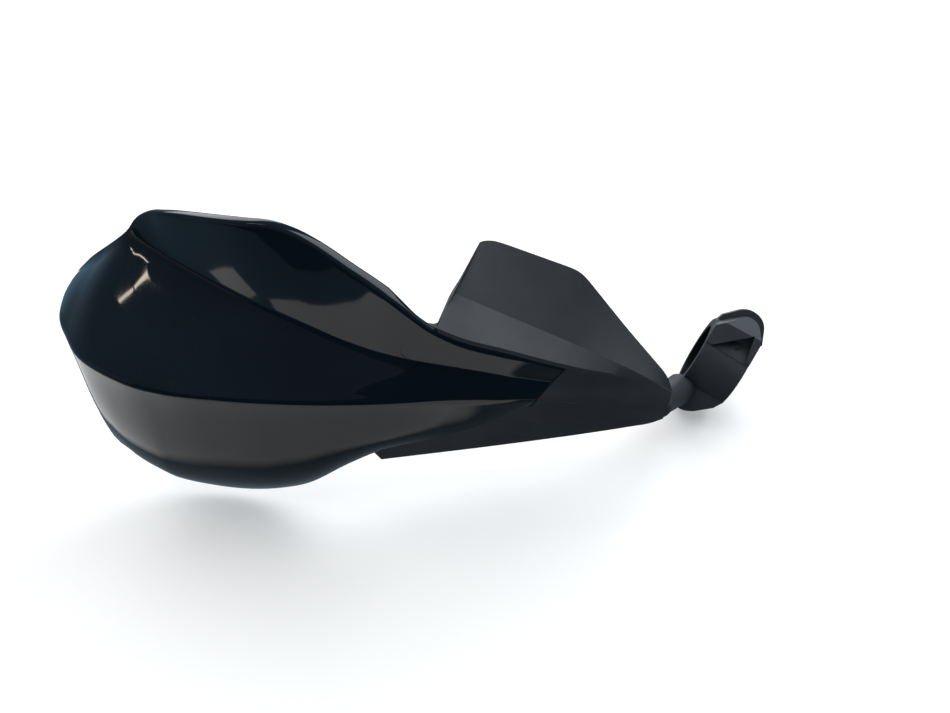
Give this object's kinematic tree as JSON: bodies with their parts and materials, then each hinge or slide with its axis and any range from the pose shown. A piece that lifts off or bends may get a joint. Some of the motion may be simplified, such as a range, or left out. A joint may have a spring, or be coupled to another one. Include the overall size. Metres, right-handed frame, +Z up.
{
  "type": "motorcycle hand guard",
  "caption": "Left-hand guard for a motorcycle bar: glossy curved shield on a matt mount with a wind wing, round arm and split bar clamp.",
  "frame": {"origin": "centre of the clamp's bore, on its axis, midway along the clamp", "axes": "+X along the guard's length towards the middle of the bar, +Y back to the rider, +Z up as the guard stands on a table"},
  "size_m": [0.3157, 0.1005, 0.1361],
  "materials": {
    "shield": "high gloss",
    "mount": "fine matt grain",
    "arm": "satin",
    "screws": "zinc plated",
    "inserts": "turned"
  },
  "bodies": {
    "root": {"shield": "shield", "wing_mount": "mount", "clamp_arm": "arm", "clamp_cap": "arm", "clamp_screw_upper": "screws", "clamp_screw_lower": "screws", "clamp_washer_upper": "screws", "clamp_washer_lower": "screws", "clamp_insert_upper": "inserts", "clamp_insert_lower": "inserts", "arm_bolt_inner": "screws", "arm_bolt_outer": "screws", "arm_washer_inner": "screws", "arm_washer_outer": "screws", "arm_insert_inner": "inserts", "arm_insert_outer": "inserts", "shield_screw_a": "screws", "shield_screw_b": "screws", "shield_screw_c": "screws", "shield_screw_d": "screws", "shield_washer_a": "screws", "shield_washer_b": "screws", "shield_washer_c": "screws", "shield_washer_d": "screws"}
  },
  "joints": []
}
